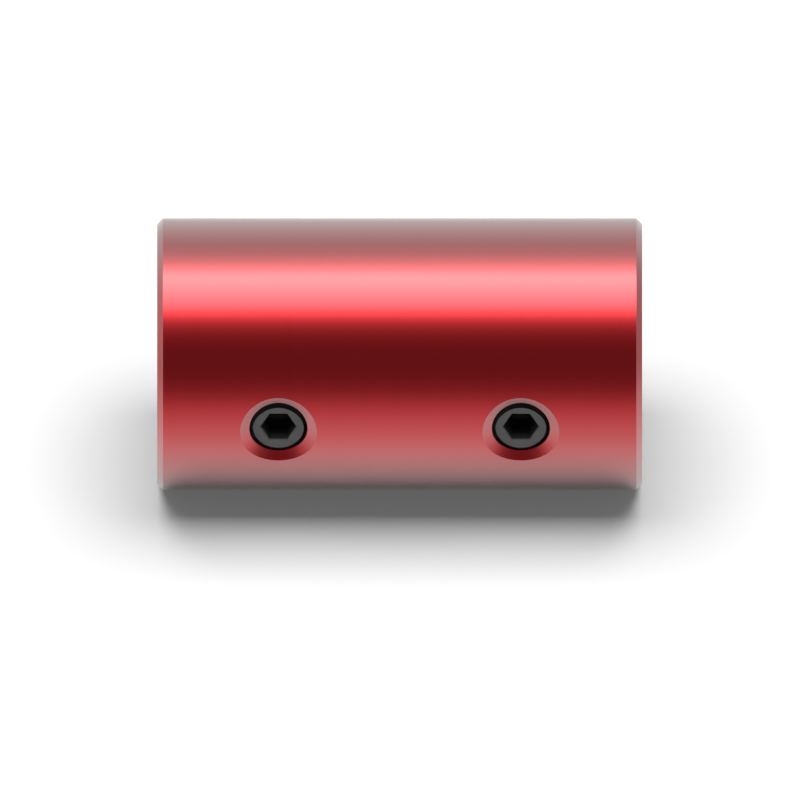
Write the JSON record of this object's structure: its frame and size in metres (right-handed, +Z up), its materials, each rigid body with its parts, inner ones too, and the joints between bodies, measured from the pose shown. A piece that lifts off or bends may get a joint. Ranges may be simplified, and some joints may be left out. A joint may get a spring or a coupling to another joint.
{
  "type": "rigid shaft coupling",
  "caption": "Rigid sleeve coupling with a plain through bore, which joins shafts end to end and clamps them with socket set screws in radial holes.",
  "frame": {"origin": "on the bore axis, midway between the end faces", "axes": "+Z up along the bore, towards the left end as pictured; -Y out of the front row of set screws; -X out of the side row, which the picture hides underneath"},
  "size_m": [0.014, 0.014, 0.025],
  "materials": {
    "red_anodised_aluminium": "satin, turned and anodised red",
    "black_oxide_steel": "black oxide"
  },
  "bodies": {
    "coupling": {"coupling_body": "red_anodised_aluminium"},
    "front_lower_screw": {"set_screw_front_lower": "black_oxide_steel"},
    "front_upper_screw": {"set_screw_front_upper": "black_oxide_steel"},
    "side_lower_screw": {"set_screw_side_lower": "black_oxide_steel"},
    "side_upper_screw": {"set_screw_side_upper": "black_oxide_steel"}
  },
  "joints": [
    {"name": "front_lower_travel", "type": "slide", "parent": "coupling", "child": "front_lower_screw", "axis": [0, -1, 0], "range_m": [0, 0.0025]},
    {"name": "front_upper_travel", "type": "slide", "parent": "coupling", "child": "front_upper_screw", "axis": [0, -1, 0], "range_m": [0, 0.0025]},
    {"name": "side_lower_travel", "type": "slide", "parent": "coupling", "child": "side_lower_screw", "axis": [-1, 0, 0], "range_m": [0, 0.0025]},
    {"name": "side_upper_travel", "type": "slide", "parent": "coupling", "child": "side_upper_screw", "axis": [-1, 0, 0], "range_m": [0, 0.0025]}
  ]
}
